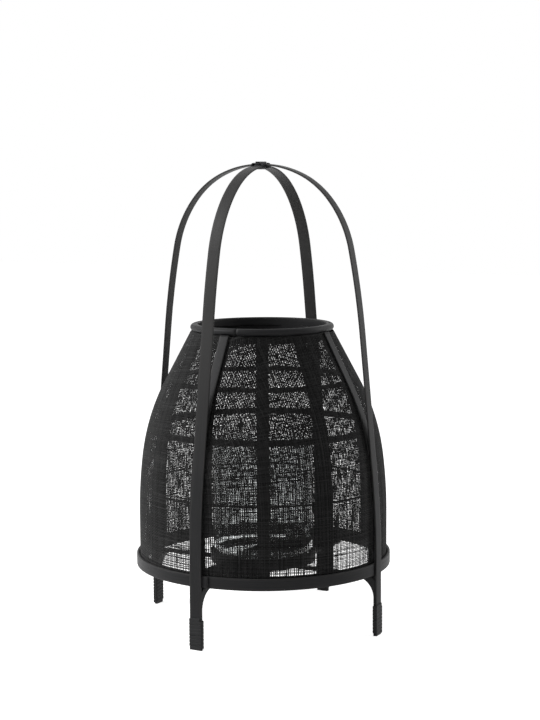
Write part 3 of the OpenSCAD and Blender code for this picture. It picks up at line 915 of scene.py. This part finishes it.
def foot_lashing(side, azimuth, leg_width):
    """The winding of one foot, from just above the floor."""
    cane_round = 0.1 + 2 * CANE_THICK
    wide = max(leg_width, FLOOR_WIDTH) + cane_round
    xy, normal, girth = round_box(FOOT_DEPTH + cane_round, wide, corner=0.9, count=STEPS_ROUND)
    k = np.arange(FOOT_TURNS * STEPS_ROUND + STEPS_ROUND // 3)
    turn, at = k / STEPS_ROUND, k % STEPS_ROUND
    loose = np.interp(turn, np.arange(FOOT_TURNS + 2), rng.uniform(-LOOSE, LOOSE, FOOT_TURNS + 2))
    z = CANE_WIDE / 2 + 0.04 + CANE_PITCH * turn + loose.clip(-0.1)
    place = np.column_stack([LEG_RADIUS - FOOT_DEPTH / 2 + xy[at, 0], xy[at, 1], z])
    out = np.column_stack([normal[at], 0 * z])
    aside = np.tile([0.0, 0.0, 1.0], (len(k), 1))
    path = (place @ turned_by(azimuth), out @ turned_by(azimuth), aside, turn * girth)
    made = sweep(f"foot_winding_{side}", path, flat_cane(CANE_WIDE, CANE_THICK), cane)
    fit_in(made, f"foot_lashing_{side}")
    return z


for side, azimuth in LEGS.items():
    z = foot_lashing(side, azimuth, FRONT_WIDTH if side in ("front", "back") else SIDE_WIDTH)
print("winding from", round(z[0], 1), "to", round(z[-1], 1), "mm")

# %% [markdown]
# The crossing is tied with the same cane: three flat turns in one diagonal, then three stouter
# ones over them in the other. They fan out over the top and squeeze together in the corners. Two
# last turns run between the hoops and pull the others tight, which also closes the gaps that one
# could see through. A simulated cord would not lie so flat, so each turn is a closed outline with
# its corners cut off a few times over, swept with the same section as the feet.

# %% One closed turn of cane


def rounded(corners):
    """Closed outline whose corners are cut off three times over."""
    p = np.array(corners, float)
    for _ in range(3):
        q = np.roll(p, -1, axis=0)
        p = np.stack([0.75 * p + 0.25 * q, 0.25 * p + 0.75 * q], 1).reshape(-1, 2)
    return p


def loop_of_cane(name, place, aside, width, thick):
    """A closed turn of cane through the places, with its flat side across aside."""
    along = np.roll(place, -1, axis=0) - np.roll(place, 1, axis=0)
    along /= np.linalg.norm(along, axis=1, keepdims=True)
    out = np.cross(aside, along)
    gaps = np.linalg.norm(np.diff(place, axis=0), axis=1)
    walked = np.append(0, np.cumsum(np.append(gaps, gaps[-1])))
    path = [np.vstack([rows, rows[:1]]) for rows in (place, out, aside)] + [walked]
    made = sweep(name, path, flat_cane(width, thick, power=0.6), cane, closed=True)
    fit_in(made, "crossing_lashing")


print("a square with its corners cut:", len(rounded([(1, 1), (-1, 1), (-1, -1), (1, -1)])), "points")

# %% Crossing lashing
HOOPS_LOW = CROSS_TOP - HOOP_THICK
HOOPS_MIDDLE = (HOOP_TOP + HOOPS_LOW) / 2
CORNER_TOP, CORNER_LOW, HUMP_TOP, HUMP_LOW = 9.0, 10.2, 3.8, 4.5
STAND_OFF, PINCH = 0.53, 0.8
WRAP_WIDE, GIRTH_WIDE, GIRTH_THICK = 3.6, 1.7, 1.2
GIRTH_Z, GIRTH_SWING, GIRTH_LONGER = CROSS_TOP + 0.15, 0.6, 1.4


def diagonal_wrap(name, azimuth, offset, lift, reach, shift, thick):
    """One turn over both hoops in a diagonal: flat on the strips and pinched at its ends."""
    top, low = HOOP_TOP + STAND_OFF * thick, HOOPS_LOW - STAND_OFF * thick
    over = [(CORNER_TOP, top), (HUMP_TOP, top + lift), (-HUMP_TOP, top + lift), (-CORNER_TOP, top)]
    under = [(-CORNER_LOW, low), (-HUMP_LOW, low - lift), (HUMP_LOW, low - lift), (CORNER_LOW, low)]
    run, z = rounded([(reach, HOOPS_MIDDLE), *over, (-reach, HOOPS_MIDDLE), *under]).T
    across = offset * (1 - PINCH * (run / reach) ** 2)
    place = np.column_stack([run + shift, across, z]) @ turned_by(azimuth)
    aside = np.tile(np.array([0.0, -1.0, 0.0]) @ turned_by(azimuth), (len(run), 1))
    loop_of_cane(name, place, aside, WRAP_WIDE, thick)


def girth_turn(name, reach, z_shift):
    """One turn between the hoops, round all four corners."""
    far = reach + GIRTH_LONGER
    x, y = rounded([(far, -reach), (far, reach), (-far, reach), (-far, -reach)]).T
    swing = np.cos(2 * np.arctan2(y, x))
    place = np.stack([x, y, GIRTH_Z + z_shift - GIRTH_SWING * swing], 1)
    loop_of_cane(name, place, np.tile([0.0, 0.0, 1.0], (len(x), 1)), GIRTH_WIDE, GIRTH_THICK)


for azimuth, lift, shift, tight, thick in ((45, 0.1, -0.4, 0.9, 0.6), (-45, 0.8, -0.9, 0.0, 0.95)):
    for n, (offset, reach) in enumerate(((-3.5, 10.9), (0.0, 11.6), (3.5, 11.2))):
        name = f"crossing_wrap_{azimuth % 360}_{n + 1}"
        diagonal_wrap(name, azimuth, offset, lift, reach - tight, shift, thick)
for n, (reach, z_shift) in enumerate(((7.0, 0.9), (7.6, -0.9))):
    girth_turn(f"crossing_girth_{n + 1}", reach, z_shift)
print("crossing: 6 diagonal turns and 2 between the hoops")

# %% [markdown]
# ## The cloth
# The cloth is an open plain weave of stiff bast yarn. Light comes through the holes in it, and
# through two layers of it, so a pattern of holes on a smooth sheet would look wrong from the
# side. Here every yarn is a real crowned ribbon that goes over and under the crossing yarns.
# On the wall the wefts run level and the warps stand upright. Flat cloth cannot follow a cone
# that way: its warps stay parallel, so they lean towards a line near the panel's right edge and
# the outermost run off into the seams, while the wefts droop away from that line. Spacing and
# thickness vary as hand-spun yarn does.

# %% Yarn finish
YARN_DARK, YARN_LIGHT = (0.004, 0.004, 0.004), (0.03, 0.03, 0.03)
look = {"Specular_IOR_Level": LEVEL_OF_STAIN, "Sheen_Weight": 0.2, "Sheen_Roughness": 0.5}
yarn, tree, shader = principled("black_bast_yarn", **look)
shade = tree.nodes.new("ShaderNodeAttribute")
shade.attribute_name = "yarn_shade"
fuzz = noise(tree, object_place(tree), 1400.0, 3.0)
cloud = noise(tree, object_place(tree), 45.0, 2.0)
tone = calculate(tree, "MULTIPLY", shade.outputs["Fac"], 0.6)
for texture, share in ((fuzz, 0.35), (cloud, 0.2)):
    tone = calculate(tree, "ADD", tone, calculate(tree, "MULTIPLY", texture, share))
yarn_colour = mix_colours(tree, spread(tree, tone, 0.3, 0.8), YARN_DARK, YARN_LIGHT)
tree.links.new(yarn_colour, shader.inputs["Base Color"])
tree.links.new(spread(tree, fuzz, 0.3, 0.7, 0.7, 0.9), shader.inputs["Roughness"])
emboss(tree, shader, fuzz, 0.4, 0.0001)
print("finish:", yarn.name)

# %% The bell as a surface
CLOTH_MIDDLE, CLOTH_FOOT = 0.6, BELL_FOOT + 0.8
outline_start = (BELL_RADIUS - CLOTH_MIDDLE, CLOTH_FOOT)
outline_rows = follow(bell_chain(CLOTH_MIDDLE, CLOTH_FOOT), outline_start, step=0.5)
outline_x, outline_z, outline_lean, outline_at = outline_rows.T
bell_length = outline_at[-1]


def on_bell(t, azimuth, lift):
    """Place on the bell at a distance t up its outline, with the directions out, up and round."""
    r, z, tilt = (np.interp(t, outline_at, column) for column in (outline_x, outline_z, outline_lean))
    ca, sa = np.cos(azimuth), np.sin(azimuth)
    out = np.stack([np.cos(tilt) * ca, np.cos(tilt) * sa, np.sin(tilt)], -1)
    up = np.stack([-np.sin(tilt) * ca, -np.sin(tilt) * sa, np.cos(tilt)], -1)
    base = np.stack([r * ca, r * sa, z], -1)
    return base + out * lift[..., None], out, up, np.stack([-sa, ca, 0 * sa], -1)


print("cloth from foot to rim:", round(bell_length, 1), "mm")

# %% [markdown]
# The weave is laid out as a net: one row of numbers per warp, one column per weft. The net says
# at each crossing how far round and how high it is, and which yarn is on top. Each yarn is then
# one line of that net.

# %% Lay out the net of yarns
WEFT_PITCH, WARP_PITCH = 1.5, 2.2
UNEVEN, JITTER, DROOP = 0.12, 0.06, 0.4
HALF_PANEL, STRAIGHT_AT = radians(45 - 0.7), radians(30)
SPARE_LENGTH, DROOP_TO = 30, 1.3
FIRST_WEFT, FIRST_WARP, RIM_MARGIN = 0.3, 0.4, 0.2
WARP_KNOTS, WEFT_KNOTS = 30, 26


def smooth_noise(rng, count, knots, size):
    """Smooth random numbers along a yarn."""
    return np.interp(np.linspace(0, knots - 1, count), np.arange(knots), rng.normal(0, size, knots))


def net_of_yarns(rng):
    """Azimuth, height and upper yarn at every crossing of one panel, and which ones are inside."""
    wefts = np.arange(FIRST_WEFT, bell_length + SPARE_LENGTH, WEFT_PITCH)
    wefts = wefts + rng.normal(0, UNEVEN * WEFT_PITCH, len(wefts))
    radius = np.interp(wefts, outline_at, outline_x)
    lean = np.interp(wefts, outline_at, np.sin(outline_lean))
    edge = HALF_PANEL * BELL_RADIUS
    warps = np.arange(-edge + FIRST_WARP, edge, WARP_PITCH)
    warps = warps + rng.normal(0, UNEVEN * WARP_PITCH, len(warps))
    wander = np.array([smooth_noise(rng, len(wefts), WARP_KNOTS, UNEVEN) for _ in warps])
    wander = (wander + rng.normal(0, JITTER, wander.shape)) / BELL_RADIUS
    aside = (warps[:, None] / BELL_RADIUS + wander - STRAIGHT_AT) * (BELL_RADIUS / radius)[None]
    azimuth = STRAIGHT_AT + aside
    sag = np.array([smooth_noise(rng, len(warps), WEFT_KNOTS, UNEVEN) for _ in wefts]).T
    sag = sag + rng.normal(0, JITTER, sag.shape)
    drop = DROOP * (radius * lean)[None] * aside.clip(-DROOP_TO, DROOP_TO) ** 2
    height = wefts[None] + sag - drop
    inside = (np.abs(azimuth) < HALF_PANEL) & (height < bell_length - RIM_MARGIN)
    parity = np.add.outer(np.arange(len(warps)), np.arange(len(wefts))) % 2
    return azimuth, height, 1.0 - 2.0 * parity, inside


print("a panel is", round(2 * HALF_PANEL * BELL_RADIUS), "mm wide between its seams")

# %% [markdown]
# A yarn is a ribbon three points wide, with the middle one raised. A round tube would take
# several times the faces and look the same. The width wanders and has one thick slub now and
# then. It also follows the height: the yarns are thinnest a third of the way up, where the cloth
# is pulled open, and thickest at the rim. Like every other piece, a panel carries the grain map
# in millimetres.

# %% Weave one panel
WEFT_WIDE, WARP_WIDE = 0.76, 1.07
CROWN, WAVE = 0.48, 0.18
WIDTH_AT, WIDTH_SHARE = (0, 40, 90, bell_length), (1.06, 1.04, 0.96, 1.13)
SLUB, SLUB_REACH, SLUB_MISS = 0.8, 4.0, 40
ALONG_YARN, YARN_TO_YARN, STEP_TO_STEP = 0.12, 1.2 * UNEVEN, 0.14
STEPS_PER_KNOT, THINNEST, THICKEST = 9, 0.4, 2.0


def yarn_width(rng, t, wide):
    """Width of one yarn at each of its crossings."""
    n = len(t)
    slubs = 1 + smooth_noise(rng, n, max(3, n // STEPS_PER_KNOT), ALONG_YARN)
    slubs += SLUB * np.exp(-((np.arange(n) - rng.uniform(-SLUB_MISS, n + SLUB_MISS)) / SLUB_REACH) ** 2)
    spun = slubs * rng.normal(1, YARN_TO_YARN) * rng.normal(1, STEP_TO_STEP, n)
    return wide * np.interp(t, WIDTH_AT, WIDTH_SHARE) * np.clip(spun, THINNEST, THICKEST)


def weave_panel(name, middle, seed):
    """One quarter of the bell's cloth."""
    rng = np.random.default_rng(seed)
    azimuth, height, top, inside = net_of_yarns(rng)
    places, faces, shades, spots = [], [], [], []
    count = 0
    lines = [((k, slice(None)), True) for k in range(len(top))]
    lines += [((slice(None), k), False) for k in range(len(top[0]))]
    for pick, is_warp in lines:
        keep = inside[pick]
        a, t, o = azimuth[pick][keep], height[pick][keep], top[pick][keep]
        if len(a) < 3:
            continue
        if not is_warp:
            a = np.concatenate([[-HALF_PANEL], a, [HALF_PANEL]])
            t = np.concatenate([t[:1], t, t[-1:]])
            o = np.concatenate([-o[:1], o, -o[-1:]])
        n = len(a)
        width = yarn_width(rng, t, WARP_WIDE if is_warp else WEFT_WIDE)
        centre, out, up, along_rim = on_bell(t, middle + a, o * (WAVE if is_warp else -WAVE))
        half = (along_rim if is_warp else up) * (width / 2)[:, None]
        places.append(np.stack([centre - half, centre + out * CROWN, centre + half], 1).reshape(-1, 3))
        i, k = np.meshgrid(3 * np.arange(n - 1) + count, np.arange(2), indexing="ij")
        faces.append(np.stack([i + k, i + k + 1, i + k + 4, i + k + 3], -1).reshape(-1, 4))
        shades.append(np.full(3 * n, rng.uniform(0, 1)))
        along = t if is_warp else a * BELL_RADIUS
        line = pick[0] if is_warp else pick[1]
        spots.append(np.stack([np.repeat(along, 3), np.tile([-0.5, 0, 0.5], n) + line], 1))
        count += 3 * n
    faces, spots = np.vstack(faces), np.vstack(spots)
    maps, masks = {"grain": spots[faces.ravel()]}, {"yarn_shade": np.concatenate(shades)}
    return to_object(name, np.vstack(places), faces.tolist(), yarn, maps, masks, solid=False)


print("warps are", WARP_WIDE, "mm wide and wefts", WEFT_WIDE, "mm, before they vary")

# %% [markdown]
# Four panels go round, each between two straps and over four ribs. The cloth was cut flat and
# pulled tight.

# %% The four panels
seam_share, first_seed = 3, 11
for quarter, name in enumerate(("front_right", "back_right", "back_left", "front_left")):
    middle = radians(-45 + 90 * quarter)
    panel = weave_panel(f"cloth_{name}_woven", middle, first_seed + quarter)
    fit_in(panel, f"cloth_{name}")
    print(panel.name, len(panel.data.polygons), "faces")

# %% [markdown]
# ## The glass
# The cylinder is plain drinking-glass: straight wall, thick floor, rounded foot and a
# fire-polished rim. A thin open tube would not bend the light, so it is turned from one outline
# that runs up the outside and down the inside, and light meets a real wall. Its finish is one
# clear shader, with a little dust in the roughness.

# %% Glass finish
look = {"Transmission_Weight": 1, "IOR": 1.5, "Base_Color": (0.93, 0.95, 0.95, 1)}
glass, tree, shader = principled("clear_glass", **look)
dust = noise(tree, object_place(tree), 60.0, 5.0, 0.7)
tree.links.new(spread(tree, dust, 0.4, 0.8, 0.0, 0.06), shader.inputs["Roughness"])
print("finish:", glass.name)

# %% Glass cylinder
glass_low = BOARD_TOP + 0.05
glass_top = glass_low + GLASS_HEIGHT
glass_bore = GLASS_RADIUS - GLASS_WALL
lip, foot_round, inner_round, glass_floor = GLASS_WALL / 2, 4, 3, glass_low + 5
HAIR = 0.3


def bend_round(radius, at, begin, end):
    """Points of an arc, with one more point a hair beyond each end to keep the flats flat."""
    b = np.radians(np.linspace(begin, end, 9))
    arc = [(at[0] + radius * cos(t), at[1] + radius * sin(t)) for t in b]
    side = 1 if end > begin else -1
    before = (arc[0][0] + HAIR * side * sin(b[0]), arc[0][1] - HAIR * side * cos(b[0]))
    after = (arc[-1][0] - HAIR * side * sin(b[-1]), arc[-1][1] + HAIR * side * cos(b[-1]))
    return [before] + arc + [after]


outline = [(0.01, glass_low)]
outline += bend_round(foot_round, (GLASS_RADIUS - foot_round, glass_low + foot_round), -90, 0)
outline += bend_round(lip, (GLASS_RADIUS - lip, glass_top - lip), 0, 180)
outline += bend_round(inner_round, (glass_bore - inner_round, glass_floor + inner_round), 0, -90)
outline += [(0.01, glass_floor)]
cylinder = spin("glass_cylinder_turned", outline, glass, steps=128)
fit_in(cylinder, "glass_cylinder", body="glass")
print("glass:", len(cylinder.data.polygons), "faces")
